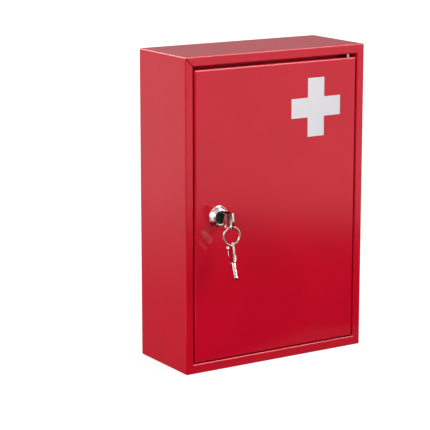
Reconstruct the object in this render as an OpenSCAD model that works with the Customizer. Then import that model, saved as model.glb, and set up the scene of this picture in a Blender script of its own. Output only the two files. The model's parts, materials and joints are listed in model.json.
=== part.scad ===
// Lockable steel medicine cabinet with an inset door, a cam lock and two keys on a split ring.
// Millimetres. X runs to the right, Y to the wall, Z up, from the middle of the cabinet's underside.

/* [Cabinet] */
// Width across the outside
cabinet_w = 215; // [180:1:320]
// Depth of the shell, without the lock
cabinet_d = 88; // [74:1:140]
// Height across the outside
cabinet_h = 320; // [260:1:420]
// Thickness of the sheet steel
sheet_t = 0.8; // [0.6:0.1:1.2]
// Width of the front frame at the two sides
frame_side_w = 9; // [7:0.5:14]
// Height of the front frame at the top and the bottom
frame_end_h = 10; // [8:0.5:14]
// Outside radius of the folds between the walls and the front frame
frame_fold_r = 1.2; // [1.2:0.1:2]
// Outside radius of the fold where the frame turns back round the opening
lip_fold_r = 1.6; // [1.4:0.1:2.5]
// Radius of the four long corners of the wrapped walls
corner_r = 2; // [1.4:0.1:4]
// Width of the open mitre at the top left corner of the frame
mitre_slit = 0.9; // [0.5:0.1:1.5]
// Width of the welded mitre seams at the two lower corners
mitre_seam = 0.3; // [0.2:0.1:0.5]
// Depth of the welded mitre seam
mitre_seam_d = 0.25; // [0.1:0.05:0.5]

/* [Back and shelves] */
// Height of the edges of the back panel that turn forward
back_edge = 10; // [6:1:16]
// Distance between the wall screw holes across
wall_hole_x = 165; // [120:1:170]
// Distance between the wall screw holes up and down
wall_hole_z = 270; // [200:1:275]
// Diameter of the wall screw holes
wall_hole_d = 5.5; // [4:0.5:7]
// Height of the turned-down edges of a shelf
shelf_edge = 9; // [6:1:14]
// Outside radius of the folds of the back panel and the shelves
tray_fold_r = 1.5; // [1.3:0.1:2.5]

/* [Door] */
// Gap between the door and the frame on the lock side
door_gap_lock = 1.6; // [1:0.1:2]
// Gap on the hinge side
door_gap_hinge = 1.2; // [1:0.1:2]
// Gap above the door
door_gap_top = 3.2; // [1.5:0.1:4]
// Gap below the door, which holds the hinge washer
door_gap_bottom = 0.9; // [0.9:0.1:2]
// Depth of the door's turned-back edges
door_edge = 11; // [9:0.5:14]
// Outside radius of the folds round the door
door_fold_r = 2; // [1.6:0.1:3]
// Width of the slit between two turned-back edges at a corner of the frame or the door
corner_slit = 0.6; // [0.3:0.1:1]

/* [Hinge] */
// Distance of the hinge pins from the door's edge
hinge_inset = 7.6; // [7:0.1:9]
// Distance of the hinge pins behind the door's face
hinge_back = 4; // [3.8:0.1:4.4]
// Diameter of a hinge pin
pin_d = 3; // [2.4:0.1:3.2]
// Length of a hinge pin past the door
pin_reach = 7; // [5.5:0.5:9]
// Diameter of a pin's head
pin_head_d = 5; // [4.2:0.1:5.4]
// Height of a pin's head
pin_head_h = 1.2; // [0.8:0.1:2]
// Width of a pivot bracket
bracket_w = 11; // [9:0.5:12]
// Height of a pivot bracket over its two tabs
bracket_h = 14; // [10:0.5:20]
// Length of a pivot bracket's tabs
bracket_tab = 8; // [7.5:0.5:9.5]
// Thickness of a pivot bracket
bracket_t = 1.2; // [1:0.1:1.3]
// Distance of each bracket from the door's top or bottom edge
bracket_drop = 6; // [4:0.5:12]
// Outer diameter of the washer below the door
hinge_washer_d = 7; // [5:0.5:7.5]
// Thickness of the washer below the door
hinge_washer_t = 0.7; // [0.4:0.1:0.7]

/* [Cross] */
// Height and width of the cross on the door
cross_size = 60; // [40:1:80]
// Width of the cross's arms
cross_arm = 20; // [12:1:26]
// Distance of the cross's centre from the door's hinge edge
cross_inset = 49.8; // [45:0.1:70]
// Distance of the cross's centre below the door's top edge
cross_drop = 47.6; // [44:0.1:80]
// Thickness of the film that the cross is cut from
film_t = 0.2; // [0.1:0.05:0.4]

/* [Lock] */
// Distance of the lock's centre from the door's free edge
lock_inset = 27; // [24:0.5:34]
// How far the lock's head stands out of the door
lock_proud = 7; // [6:0.5:9]
// Diameter of the lock's head where it meets the door
lock_head_d = 22; // [20.5:0.5:25]
// Diameter of the ring at the front of the head
lock_ring_d = 16.6; // [15.8:0.2:19]
// Diameter of the lock's threaded body
lock_body_d = 18; // [17:0.5:19]
// Distance across the body's two flats
lock_flats = 16; // [15.2:0.2:16.6]
// Diameter of the plug that the key turns
plug_d = 12; // [11.5:0.1:12.5]
// Distance across the flats of the lock nut
nut_flats = 22; // [20.5:0.5:24]
// Thickness of the lock nut
nut_t = 3.5; // [2.5:0.5:4.5]
// Diameter of the washer under the lock nut
nut_washer_d = 23; // [21:0.5:25]
// Thickness of the washer under the lock nut
nut_washer_t = 1; // [0.6:0.1:1.5]
// How far the cam's nose reaches behind the frame
cam_reach = 4.6; // [3:0.1:6]
// Width of the cam's nose
cam_w = 12; // [10:0.5:14]
// Diameter of the cam's round hub
cam_hub_d = 17; // [15:0.5:18]
// Thickness of the cam
cam_t = 2; // [1.5:0.1:2.5]
// Thickness of the washer that stops the cam's turn
stop_t = 1.4; // [1:0.1:1.6]
// Side of the square on the plug's tail
tail_side = 7; // [6:0.1:7.4]
// Diameter of the cam screw
cam_screw_d = 4; // [3:0.5:4]
// Diameter of the cam screw's head
cam_screw_head_d = 7.5; // [6.5:0.5:8]
// Height of the cam screw's head
cam_screw_head_h = 2.6; // [2:0.1:3.2]
// Turn from unlocked to locked, in degrees
lock_turn = 90; // [80:1:95]

/* [Keys] */
// Thickness of a key
key_t = 2; // [1.8:0.1:2.2]
// Length of the blade
blade_l = 16.5; // [15.5:0.1:17]
// Height of the blade
blade_h = 6; // [5.6:0.1:6.4]
// Depth of the cuts in the blade, from the shoulder to the tip
blade_cuts = [0.5, 1.1, 0.3, 0.9, 0.6];
// Length of the neck between blade and bow
neck_l = 6.4; // [5:0.1:9]
// Height of the neck
neck_h = 11; // [9:0.5:12]
// Length of the bow
bow_l = 14.4; // [13:0.1:17]
// Height of the bow at its outer end
bow_h = 19; // [18:0.5:21]
// Height of the bow where it meets the neck
bow_root_h = 16; // [14:0.5:18]
// How far the bow's outer end bulges
bow_bulge = 1.2; // [0.6:0.1:1.6]
// Width of the slot in the bow
slot_w = 2.8; // [2.7:0.1:3.2]
// Length of the slot in the bow
slot_l = 14; // [12:0.5:15]
// Metal left between the slot and the bow's outer end
slot_edge = 1.6; // [1.5:0.1:2]

/* [Key ring] */
// Outer diameter of the split ring
ring_d = 19.5; // [18:0.5:24]
// Thickness of the ring's wire across the ring
ring_wire = 1.4; // [1.2:0.1:1.5]
// Height of the two turns of wire together
ring_stack = 1.7; // [1.5:0.1:1.8]
// Turn of the hanging ring away from the door's plane, in degrees
ring_yaw = 4; // [0:1:20]
// Turn of the spare key past the ring, in degrees
spare_turn = 6; // [0:1:10]
// Lean of the spare key out of the vertical, in degrees
spare_lean = 26; // [0:1:30]
// Distance of the ring from the middle of the spare key's slot
spare_slide = 4; // [0:0.5:5]

/* [Hidden] */
$fn = 64;

// Finishes
red_paint = "#b8202c";
cross_white = "#f0f0f2";
chrome = "#d4d6da";
nickel = "#c4c2ba";
dark_nickel = "#5c5a55";
zinc = "#b9bcc0";
brass = "#c9a857";
spring_steel = "#8f9296";

// Clearances
cut = 1;                // overlap of a cutting shape past the face that it cuts
pin_fit = 0.06;         // round a turning pin, on the radius
slide_fit = 0.15;       // round a piece that slides or is pushed on
thread_fit = 0.05;      // between a nut or screw and its thread, on the radius
stop_gap = 0.3;         // between two faces that meet when the door shuts
swing_gap = 0.7;        // round the corner of the door's edge as it swings past a shelf
axial_gap = 0.1;        // between turning faces of the lock
cam_gap = 0.6;          // between the cam and the back of the door's edges

// The shell, seen from the front plane: depth runs back from there
front_y = -cabinet_d / 2;
opening_w = cabinet_w - 2 * frame_side_w;
opening_h = cabinet_h - 2 * frame_end_h;
lip_short = 0.5;        // how much less deep the lips are than the door's edges
lip_d = door_edge - lip_short;
inner_w = cabinet_w - 2 * sheet_t;
inner_h = cabinet_h - 2 * sheet_t;
back_face = cabinet_d - sheet_t;
mitre_l = sqrt(pow(frame_side_w, 2) + pow(frame_end_h, 2));
relief_r = 1.2;         // round hole at the inner end of the open mitre
edge_notch = 4;         // bare stretch at each end of a folded edge

// The shelves share the height equally
shelf_count = 2;
shelf_pitch = cabinet_h / (shelf_count + 1);
shelf_front = door_edge + stop_gap;
shelf_corner = 1.2;     // extra cut where a shelf passes the back panel's edges
shelf_notch_w = sheet_t + shelf_corner;
shelf_full_end = back_face - back_edge - shelf_corner;

// The door
door_left = door_gap_lock - opening_w / 2;
door_right = opening_w / 2 - door_gap_hinge;
door_w = door_right - door_left;
door_x = (door_left + door_right) / 2;
door_bottom = frame_end_h + door_gap_bottom;
door_top = cabinet_h - frame_end_h - door_gap_top;
door_h = door_top - door_bottom;
door_corner_in = 0.2;   // inside radius of the door's long corners
door_corner_r = sheet_t + door_corner_in;

// The hinge
hinge_x = door_right - hinge_inset;
notch_play = 0.5;       // from the bracket's side to the end of the notch over it
hinge_notch = bracket_w / 2 + notch_play;
bracket_fold_in = 0.3;  // inside radius of the bracket's folds
bracket_fold_r = bracket_t + bracket_fold_in;
door_sweep = sqrt(pow(hinge_inset, 2) + pow(door_edge - hinge_back, 2)) + swing_gap;
pin_r = pin_d / 2;

// The lock, on the door's mid height
lock_x = door_left + lock_inset;
lock_z = (door_bottom + door_top) / 2;
plug_recess = 0.8;      // from the front of the head back to the plug's face
plug_rim = 0.75;        // how far the plug's rim stands out
plug_rim_d = plug_d + 2 * plug_rim;
plug_rim_t = 1.2;
plug_face = plug_recess - lock_proud;
cam_front = door_edge + cam_gap;
stop_front = cam_front - axial_gap - stop_t;
housing_end = stop_front - axial_gap;
stop_track = 1.5;       // depth of the step that the stop washer's lug runs in
stop_lug = 24;          // width of the lug, in degrees
stop_play = 1.5;        // play of the lug past each end of the turn, in degrees
stop_inset = 1;         // from the housing's thread in to the stop washer's rim
stop_d = lock_body_d - 2 * stop_inset;
tail_end = cam_front + cam_t - axial_gap;
cam_l = cam_reach + lock_x + opening_w / 2;
cam_washer_t = 0.8;
cam_washer_d = 9;

// The wafers and their springs, one for each cut in the key
wafer_t = 1;
wafer_w = 6.2;
wafer_slot_t = wafer_t + slide_fit;
wafer_inset = 0.1;      // from the plug's surface in to a wafer's ends
wafer_d = plug_d - 2 * wafer_inset;
wafer_count = len(blade_cuts);
wafer_first = 3.6;      // from the key's shoulder to the first wafer
wafer_pitch = 2.4;
wafer_play = 0.3;       // between the blade and each side of a wafer's window
wafer_window_w = key_t + 2 * wafer_play;
wafer_window_h = blade_h + 2 * slide_fit;
wafer_ear = 1.2;        // width of the ear that the spring pushes
wafer_ear_h = 1;
wafer_ear_z = 1.6;
spring_d = 1;
spring_l = 4.4;
keyway_end = 0.3;       // room past the key's tip
bore_start = 0.5;       // from the keyway's end to the cam screw's bore
bore_end = 0.2;         // from the bore's end to the cam screw's tip

// The keys
shoulder_gap = 0.2;     // between the key's shoulder and the front of the lock's head
shoulder_y = -lock_proud - shoulder_gap;
key_l = neck_l + bow_l;
slot_u = key_l - slot_edge - slot_w / 2;
blade_groove_w = 1.2;
blade_groove_d = 0.5;
blade_groove_run = 2;   // how far the groove runs past the shoulder
bow_end_r = (pow(bow_h / 2, 2) + pow(bow_bulge, 2)) / (2 * bow_bulge);
bow_panel_d = 0.2;
bow_panel_side = 2;     // from the bow's edge to the sunk panel, above and below
bow_panel_in = 2.2;     // from the neck to the panel
bow_panel_out = 1.4;    // from the panel to the slot
cut_flat = 1.1;         // flat floor of a cut in the blade
wire_gap = 0.3;         // between the ring's wire and the slot edge that it hangs on
ring_mid_r = (ring_d - ring_wire) / 2;
ring_top_z = lock_z - slot_l / 2 + wire_gap + ring_wire / 2;
ring_z = ring_top_z - ring_mid_r;
ring_y = front_y + shoulder_y - slot_u;
spare_z = ring_z - ring_mid_r;

bore_y = shoulder_y + blade_l + keyway_end + bore_start;

function wafer_y(i) = shoulder_y + wafer_first + i * wafer_pitch;

// Placing

// Moves a shape whose Y is depth behind the front plane
module from_front() {
    translate([0, front_y, 0]) children();
}

// Extrudes an outline drawn in X and Z, from depth y0 to depth y1
module along_y(y0, y1) {
    translate([0, y1, 0]) rotate([90, 0, 0]) linear_extrude(y1 - y0) children();
}

// Extrudes an outline drawn in Y and Z, from x0 to x1
module along_x(x0, x1) {
    translate([x0, 0, 0]) rotate([90, 0, 90]) linear_extrude(x1 - x0) children();
}

// Puts a shape that is drawn round the lock's axis in its place in the door
module at_lock() {
    from_front() translate([lock_x, 0, lock_z]) children();
}

// Turns a solid of revolution that is drawn along +Z so that it runs along +Y
module facing_back() {
    rotate([-90, 0, 0]) children();
}

// Outlines

module rounded_rect(w, h, r) {
    square([w - 2 * r, h], center = true);
    square([w, h - 2 * r], center = true);
    for (sx = [-1, 1], sy = [-1, 1])
        translate([sx * (w / 2 - r), sy * (h / 2 - r)]) circle(r);
}

// A box's section: w across, d deep from Y = 0, with its two front corners rounded
module box_section(w, d, r) {
    translate([-w / 2, r]) square([w, d - r]);
    translate([r - w / 2, 0]) square([w - 2 * r, d]);
    for (s = [-1, 1]) translate([s * (w / 2 - r), r]) circle(r);
}

// The section of the air in an opening whose rim rolls back with radius r
module mouth_section(w, d, r) {
    post = 6 * r;
    difference() {
        translate([-w / 2 - post / 3, -cut]) square([w + 2 * post / 3, d + cut]);
        for (s = [-1, 1]) translate([s * (w + post) / 2, 0]) box_section(post, d + cut, r);
    }
}

// A disc with two flats, as the lock's body and its hole in the door
module flatted_disc(d, flats) {
    intersection() {
        circle(d = d);
        square([flats, d + cut], center = true);
    }
}

// Folded sheet

// A box from depth 0 to d and from Z = 0 to h, with folded front edges and long corners
module folded_block(w, d, h, long_r, front_r) {
    intersection() {
        along_y(0, d) translate([0, h / 2]) rounded_rect(w, h, long_r);
        linear_extrude(h) box_section(w, d, front_r);
        along_x(-w / 2, w / 2) mirror([1, -1]) translate([h / 2, 0]) box_section(h, d, front_r);
    }
}

// The air in the front opening, or the block that the lips stand round
module mouth_block(w, h, d, r) {
    past = 3 * r;
    intersection() {
        translate([0, 0, -h / 2 - past]) linear_extrude(h + 2 * past) mouth_section(w, d, r);
        along_x(-w / 2 - past, w / 2 + past) mirror([1, -1]) mouth_section(h, d, r);
    }
}

// A folded edge: the plate lies at Z = 0 to t up to Y = 0, and the leg rises to Z = leg
module folded_edge(l, leg, t, r) {
    along_x(-l / 2, l / 2) {
        intersection() {
            translate([0, r]) difference() {
                circle(r);
                circle(r - t);
            }
            square([r, r]);
        }
        translate([r - t, r]) square([t, leg - r]);
    }
}

// A bar along the mitre of a frame corner: sx and sz pick the corner, from its inner end
module mitre_bar(sx, sz, width, y0, y1, l0, l1) {
    translate([sx * opening_w / 2, 0, cabinet_h / 2 + sz * opening_h / 2])
        rotate([0, -atan2(sz * frame_end_h, sx * frame_side_w), 0])
            translate([l0, y0, -width / 2]) cube([l1 - l0, y1 - y0, width]);
}

// Cabinet

module cabinet_shell() {
    color(red_paint) from_front() difference() {
        folded_block(cabinet_w, cabinet_d, cabinet_h, corner_r, frame_fold_r);
        difference() {
            translate([0, sheet_t, sheet_t]) folded_block(inner_w, cabinet_d, inner_h,
                corner_r - sheet_t, frame_fold_r - sheet_t);
            translate([0, sheet_t, cabinet_h / 2]) mouth_block(opening_w + 2 * sheet_t,
                opening_h + 2 * sheet_t, lip_d - sheet_t, lip_fold_r - sheet_t);
        }
        translate([0, 0, cabinet_h / 2]) mouth_block(opening_w, opening_h, cabinet_d, lip_fold_r);
        frame_corners();
        hinge_holes();
    }
}

// The lips end short of each corner. The upper left mitre is open, the lower two show a welded seam,
// and the upper right one is ground flush
module frame_corners() {
    for (sx = [-1, 1], sz = [-1, 1])
        mitre_bar(sx, sz, corner_slit, lip_fold_r, lip_d + cut, -cut, 2 * lip_fold_r);
    mitre_bar(-1, 1, mitre_slit, -cut, lip_d + cut, -cut, mitre_l - 2 * sheet_t);
    translate([-opening_w / 2, 0, cabinet_h / 2 + opening_h / 2])
        along_y(-cut, lip_fold_r + cut) circle(relief_r);
    for (sx = [-1, 1])
        mitre_bar(sx, -1, mitre_seam, -cut, mitre_seam_d, -cut, mitre_l - frame_fold_r);
}

// Holes in the upper and lower lip that the hinge pins turn in
module hinge_holes() {
    for (z = [frame_end_h - sheet_t, cabinet_h - frame_end_h])
        translate([hinge_x, hinge_back, z - cut]) cylinder(h = sheet_t + 2 * cut, r = pin_r + pin_fit);
}

module back_panel() {
    plate_w = inner_w - 2 * tray_fold_r;
    plate_h = inner_h - 2 * tray_fold_r;
    color(red_paint) translate([0, cabinet_d / 2, cabinet_h / 2]) rotate([90, 0, 0]) {
        difference() {
            linear_extrude(sheet_t) square([plate_w, plate_h], center = true);
            for (sx = [-1, 1], sz = [-1, 1])
                translate([sx * wall_hole_x / 2, sz * wall_hole_z / 2, -cut])
                    cylinder(h = sheet_t + 2 * cut, d = wall_hole_d);
        }
        for (side = [0, 1]) {
            mirror([0, side, 0]) translate([0, plate_h / 2, 0])
                folded_edge(plate_w - 2 * edge_notch, back_edge, sheet_t, tray_fold_r);
            mirror([side, 0, 0]) translate([plate_w / 2, 0, 0]) rotate([0, 0, -90])
                folded_edge(plate_h - 2 * edge_notch, back_edge, sheet_t, tray_fold_r);
        }
    }
}

// A shelf whose top face is at height z: its front edge stops the door, and its front corner on the
// hinge side is cut back to clear the door's edge as it swings
module shelf(z) {
    side_start = hinge_back + door_sweep;
    tongue_right = hinge_x - door_sweep;
    tongue_w = tongue_right + inner_w / 2 - tray_fold_r;
    front_l = tongue_w - edge_notch;
    side_l = shelf_full_end - side_start - edge_notch;
    color(red_paint) from_front() translate([0, 0, z]) mirror([0, 0, 1]) {
        translate([tray_fold_r - inner_w / 2, side_start, 0])
            cube([inner_w - 2 * tray_fold_r, shelf_full_end - side_start, sheet_t]);
        translate([tray_fold_r - inner_w / 2, shelf_front + tray_fold_r, 0])
            cube([tongue_w, shelf_full_end - shelf_front - cut - tray_fold_r, sheet_t]);
        translate([shelf_notch_w - inner_w / 2, shelf_full_end - cut, 0])
            cube([inner_w - 2 * shelf_notch_w, back_face - shelf_full_end + cut, sheet_t]);
        translate([tongue_right - front_l / 2, shelf_front + tray_fold_r, 0]) mirror([0, 1, 0])
            folded_edge(front_l, shelf_edge, sheet_t, tray_fold_r);
        for (side = [0, 1])
            mirror([side, 0, 0])
                translate([inner_w / 2 - tray_fold_r, shelf_full_end - side_l / 2, 0])
                    rotate([0, 0, -90]) folded_edge(side_l, shelf_edge, sheet_t, tray_fold_r);
    }
}

module upper_shelf() {
    shelf(2 * shelf_pitch);
}

module lower_shelf() {
    shelf(shelf_pitch);
}

module hinge_washer() {
    color(zinc) from_front() translate([hinge_x, hinge_back, frame_end_h])
        linear_extrude(hinge_washer_t) difference() {
            circle(d = hinge_washer_d);
            circle(pin_r + pin_fit);
        }
}

// Door

module door_panel() {
    color(red_paint) from_front() difference() {
        translate([door_x, 0, door_bottom])
            folded_block(door_w, door_edge, door_h, door_corner_r, door_fold_r);
        translate([door_x, sheet_t, door_bottom + sheet_t])
            folded_block(door_w - 2 * sheet_t, door_edge, door_h - 2 * sheet_t,
                door_corner_r - sheet_t, door_fold_r - sheet_t);
        translate([lock_x, 0, lock_z]) along_y(-cut, sheet_t + cut)
            flatted_disc(lock_body_d + 2 * slide_fit, lock_flats + 2 * slide_fit);
        door_corner_notches();
        translate([hinge_x - hinge_notch, door_fold_r, door_top - sheet_t - cut])
            cube([door_right - sheet_t - hinge_x + hinge_notch, door_edge, sheet_t + 2 * cut]);
        translate([hinge_x, hinge_back, door_bottom - cut])
            cylinder(h = sheet_t + 2 * cut, r = pin_r + pin_fit);
    }
}

// The notches that part neighbouring edges, behind the door's folded front
module door_corner_notches() {
    side = 2 * (sheet_t + corner_slit);
    for (x = [door_left, door_right], z = [door_bottom, door_top])
        translate([x, door_fold_r + door_edge / 2, z]) rotate([0, 45, 0])
            cube([side, door_edge, side], center = true);
}

// A bracket of two tabs on a plate, drawn from its lower tab up
module pivot_bracket() {
    plate_l = bracket_h - 2 * bracket_fold_r;
    color(red_paint) from_front() translate([hinge_x, sheet_t, 0]) difference() {
        union() {
            translate([-bracket_w / 2, 0, bracket_fold_r]) cube([bracket_w, bracket_t, plate_l]);
            for (end = [0, 1]) translate([0, 0, bracket_h / 2]) mirror([0, 0, end])
                translate([0, 0, plate_l / 2]) rotate([90, 0, 0]) mirror([0, 0, 1])
                    folded_edge(bracket_w, bracket_tab, bracket_t, bracket_fold_r);
        }
        translate([0, hinge_back - sheet_t, -cut]) cylinder(h = bracket_h + 2 * cut, r = pin_r + pin_fit);
    }
}

module upper_pivot_bracket() {
    translate([0, 0, door_top - bracket_drop - bracket_h]) pivot_bracket();
}

module lower_pivot_bracket() {
    translate([0, 0, door_bottom + bracket_drop]) pivot_bracket();
}

// A headed pin that points up from its head's underside at Z = 0
module hinge_pin(l) {
    color(zinc) from_front() translate([hinge_x, hinge_back, 0]) rotate_extrude() {
        square([pin_head_d / 2, pin_head_h]);
        square([pin_r, l - pin_r / 2]);
        polygon([[0, l - pin_r / 2], [pin_r, l - pin_r / 2], [pin_r / 2, l], [0, l]]);
    }
}

module upper_hinge_pin() {
    low = door_top - bracket_drop - bracket_h - pin_head_h;
    translate([0, 0, low]) hinge_pin(door_top + pin_reach - low);
}

module lower_hinge_pin() {
    high = door_bottom + bracket_drop + bracket_h + pin_head_h;
    translate([0, 0, high]) mirror([0, 0, 1]) hinge_pin(high - door_bottom + pin_reach);
}

module white_cross() {
    color(cross_white) from_front() translate([door_right - cross_inset, 0, door_top - cross_drop])
        along_y(-film_t, 0) {
            square([cross_size, cross_arm], center = true);
            square([cross_arm, cross_size], center = true);
        }
}

// Lock

module lock_housing() {
    color(chrome) at_lock() difference() {
        union() {
            facing_back() rotate_extrude() head_profile();
            along_y(0, housing_end) flatted_disc(lock_body_d, lock_flats);
        }
        along_y(plug_face, housing_end + cut) circle(d = plug_d + 2 * pin_fit);
        along_y(-lock_proud - cut, plug_face + plug_rim_t + axial_gap) circle(d = plug_rim_d + 2 * pin_fit);
        wafer_channels();
        stop_sector(housing_end - stop_track, housing_end + cut, -stop_lug / 2 - stop_play,
            lock_turn + stop_lug / 2 + stop_play, lock_body_d);
    }
}

// Half section of the lock's head: a foot, a waisted cone and a ring round the plug
module head_profile() {
    foot_r = lock_head_d / 2;
    ring_r = lock_ring_d / 2;
    foot_t = 1.4;
    ring_t = 1.6;
    edge_r = 0.6;
    waist = 0.4;
    cone_end = lock_proud - ring_t;
    mirror([0, 1]) difference() {
        union() {
            square([foot_r - edge_r, foot_t]);
            square([foot_r, foot_t - edge_r]);
            translate([foot_r - edge_r, foot_t - edge_r]) circle(edge_r);
            polygon([[0, foot_t - edge_r], [foot_r - edge_r, foot_t], [ring_r + waist, cone_end],
                [0, cone_end]]);
            square([ring_r - edge_r, lock_proud]);
            translate([0, cone_end - edge_r]) square([ring_r, ring_t]);
            translate([ring_r - edge_r, lock_proud - edge_r]) circle(edge_r);
        }
        mirror([0, 1]) square([foot_r, cut]);
        mirror([1, 0]) square([cut, lock_proud]);
    }
}

// Channels above and below the plug that the wafers drop into without the key
module wafer_channels() {
    depth = 1.1;
    start = wafer_y(0) - wafer_t;
    translate([-wafer_w / 2 - slide_fit, start, -plug_d / 2 - depth])
        cube([wafer_w + 2 * slide_fit, wafer_y(wafer_count - 1) + wafer_t - start, plug_d + 2 * depth]);
}

// A sector of a disc round the lock's axis, from angle a0 to a1, counted from straight down to the left
module stop_sector(y0, y1, a0, a1, d) {
    along_y(y0, y1) intersection() {
        circle(d = d + cut);
        polygon(concat([[0, 0]],
            [for (i = [0:4]) let (a = a1 + (a0 - a1) * i / 4) [-d * sin(a), -d * cos(a)]]));
    }
}

module lock_washer() {
    color(zinc) at_lock() along_y(sheet_t, sheet_t + nut_washer_t) difference() {
        circle(d = nut_washer_d);
        flatted_disc(lock_body_d + 2 * slide_fit, lock_flats + 2 * slide_fit);
    }
}

module lock_nut() {
    nut_y = sheet_t + nut_washer_t;
    face_r = nut_flats / 2 + 0.2;
    chamfer_h = 1;
    chamfer_w = 1.8;
    color(zinc) at_lock() difference() {
        intersection() {
            along_y(nut_y, nut_y + nut_t) circle(d = nut_flats / cos(30), $fn = 6);
            facing_back() translate([0, 0, nut_y]) rotate_extrude()
                polygon([[0, 0], [face_r, 0], [face_r + chamfer_w, chamfer_h],
                    [face_r + chamfer_w, nut_t - chamfer_h], [face_r, nut_t], [0, nut_t]]);
        }
        along_y(nut_y - cut, nut_y + nut_t + cut) circle(d = lock_body_d + 2 * thread_fit);
    }
}

module lock_plug() {
    color(dark_nickel) at_lock() difference() {
        union() {
            along_y(plug_face, plug_face + plug_rim_t) circle(d = plug_rim_d);
            along_y(plug_face, housing_end) circle(d = plug_d);
            along_y(plug_face, tail_end) square(tail_side, center = true);
        }
        along_y(plug_face - cut, shoulder_y + blade_l + keyway_end)
            square([key_t + 2 * slide_fit, blade_h + 2 * slide_fit], center = true);
        for (i = [0:wafer_count - 1]) wafer_room(wafer_y(i));
        along_y(bore_y, tail_end + cut) circle(d = cam_screw_d + 2 * thread_fit);
    }
}

// The slot in the plug for one wafer and its spring
module wafer_room(y) {
    along_y(y - wafer_slot_t / 2, y + wafer_slot_t / 2) {
        square([wafer_w + 2 * slide_fit, plug_d + cut], center = true);
        translate([wafer_w / 2, -spring_l + wafer_ear_z - slide_fit])
            square([wafer_ear + slide_fit, spring_l + wafer_ear_h + 2 * slide_fit]);
    }
}

// Plates level with the plug, as the key holds them; their windows let the whole blade through
module wafer_tumblers() {
    lap = 0.5;
    color(brass) at_lock() for (i = [0:wafer_count - 1])
        along_y(wafer_y(i) - wafer_t / 2, wafer_y(i) + wafer_t / 2) {
            difference() {
                intersection() {
                    circle(d = wafer_d);
                    square([wafer_w, wafer_d], center = true);
                }
                square([wafer_window_w, wafer_window_h], center = true);
            }
            translate([wafer_w / 2 - lap, wafer_ear_z]) square([wafer_ear + lap, wafer_ear_h]);
        }
}

module wafer_springs() {
    color(spring_steel) at_lock() for (i = [0:wafer_count - 1])
        translate([wafer_w / 2 + wafer_ear / 2 + slide_fit / 2, wafer_y(i), wafer_ear_z - spring_l])
            cylinder(h = spring_l, d = spring_d);
}

// A washer on the square tail whose lug runs in the housing's stepped end
module stop_washer() {
    color(zinc) at_lock() difference() {
        union() {
            along_y(stop_front, stop_front + stop_t) circle(d = stop_d);
            intersection() {
                stop_sector(housing_end - stop_track + axial_gap, stop_front + stop_t, -stop_lug / 2,
                    stop_lug / 2, stop_d);
                along_y(-lock_proud, tail_end) circle(d = stop_d);
            }
        }
        along_y(-lock_proud, tail_end) square(tail_side + 2 * slide_fit, center = true);
        along_y(-lock_proud, housing_end + axial_gap / 2) circle(d = plug_d + 2 * slide_fit);
    }
}

// The cam points down when unlocked and turns left behind the frame
module lock_cam() {
    nose_r = 2;
    color(zinc) at_lock() along_y(cam_front, cam_front + cam_t) difference() {
        union() {
            circle(d = cam_hub_d);
            translate([-cam_w / 2, nose_r - cam_l]) square([cam_w, cam_l - nose_r]);
            translate([nose_r - cam_w / 2, -cam_l]) square([cam_w - 2 * nose_r, cam_l]);
            for (s = [-1, 1]) translate([s * (cam_w / 2 - nose_r), nose_r - cam_l]) circle(nose_r);
        }
        square(tail_side + 2 * slide_fit, center = true);
    }
}

module cam_washer() {
    color(zinc) at_lock() along_y(cam_front + cam_t, cam_front + cam_t + cam_washer_t) difference() {
        circle(d = cam_washer_d);
        circle(d = cam_screw_d + 2 * slide_fit);
    }
}

// A pan head screw with a cross recess
module cam_screw() {
    head_y = cam_front + cam_t + cam_washer_t;
    dome = 0.8;
    recess_l = 4.2;
    recess_w = 0.9;
    recess_d = 1.4;
    color(zinc) at_lock() difference() {
        union() {
            along_y(bore_y + bore_end, head_y + dome) circle(d = cam_screw_d);
            along_y(head_y, head_y + cam_screw_head_h - dome) circle(d = cam_screw_head_d);
            facing_back() translate([0, 0, head_y + cam_screw_head_h - dome])
                cylinder(h = dome, d1 = cam_screw_head_d, d2 = cam_screw_head_d - 2 * dome);
        }
        along_y(head_y + cam_screw_head_h - recess_d, head_y + cam_screw_head_h + cut) {
            square([recess_l, recess_w], center = true);
            square([recess_w, recess_l], center = true);
        }
    }
}

// Keys

// A flat key: the shoulder is at X = 0, the blade runs to -X and the bow to +X
module flat_key() {
    tip = 1.6;
    root = 2.5;
    neck_r = 1;
    slot_r = 0.5;
    panel_r = 0.8;
    panel_l = slot_u - slot_w / 2 - neck_l - bow_panel_in - bow_panel_out;
    color(nickel) difference() {
        translate([0, 0, -key_t / 2]) linear_extrude(key_t) difference() {
            union() {
                polygon([[root, -blade_h / 2], [root, blade_h / 2], [tip - blade_l, blade_h / 2],
                    [-blade_l, blade_h / 2 - tip], [-blade_l, tip - blade_h / 2],
                    [tip - blade_l, -blade_h / 2]]);
                translate([(neck_l + root) / 2, 0]) rounded_rect(neck_l + root, neck_h, neck_r);
                bow_outline();
            }
            for (i = [0:wafer_count - 1], side = [0, 1]) mirror([0, side])
                translate([-wafer_first - i * wafer_pitch, -blade_h / 2]) blade_cut(blade_cuts[i]);
            translate([slot_u, 0]) rounded_rect(slot_w, slot_l, slot_r);
        }
        for (face = [0, 1]) mirror([0, 0, face]) {
            translate([-blade_l - cut, -blade_groove_w / 2, key_t / 2 - blade_groove_d])
                cube([blade_l + cut + blade_groove_run, blade_groove_w, key_t]);
            translate([neck_l + bow_panel_in + panel_l / 2, 0, key_t / 2 - bow_panel_d])
                linear_extrude(key_t) rounded_rect(panel_l, bow_root_h - 2 * bow_panel_side, panel_r);
        }
    }
}

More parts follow.
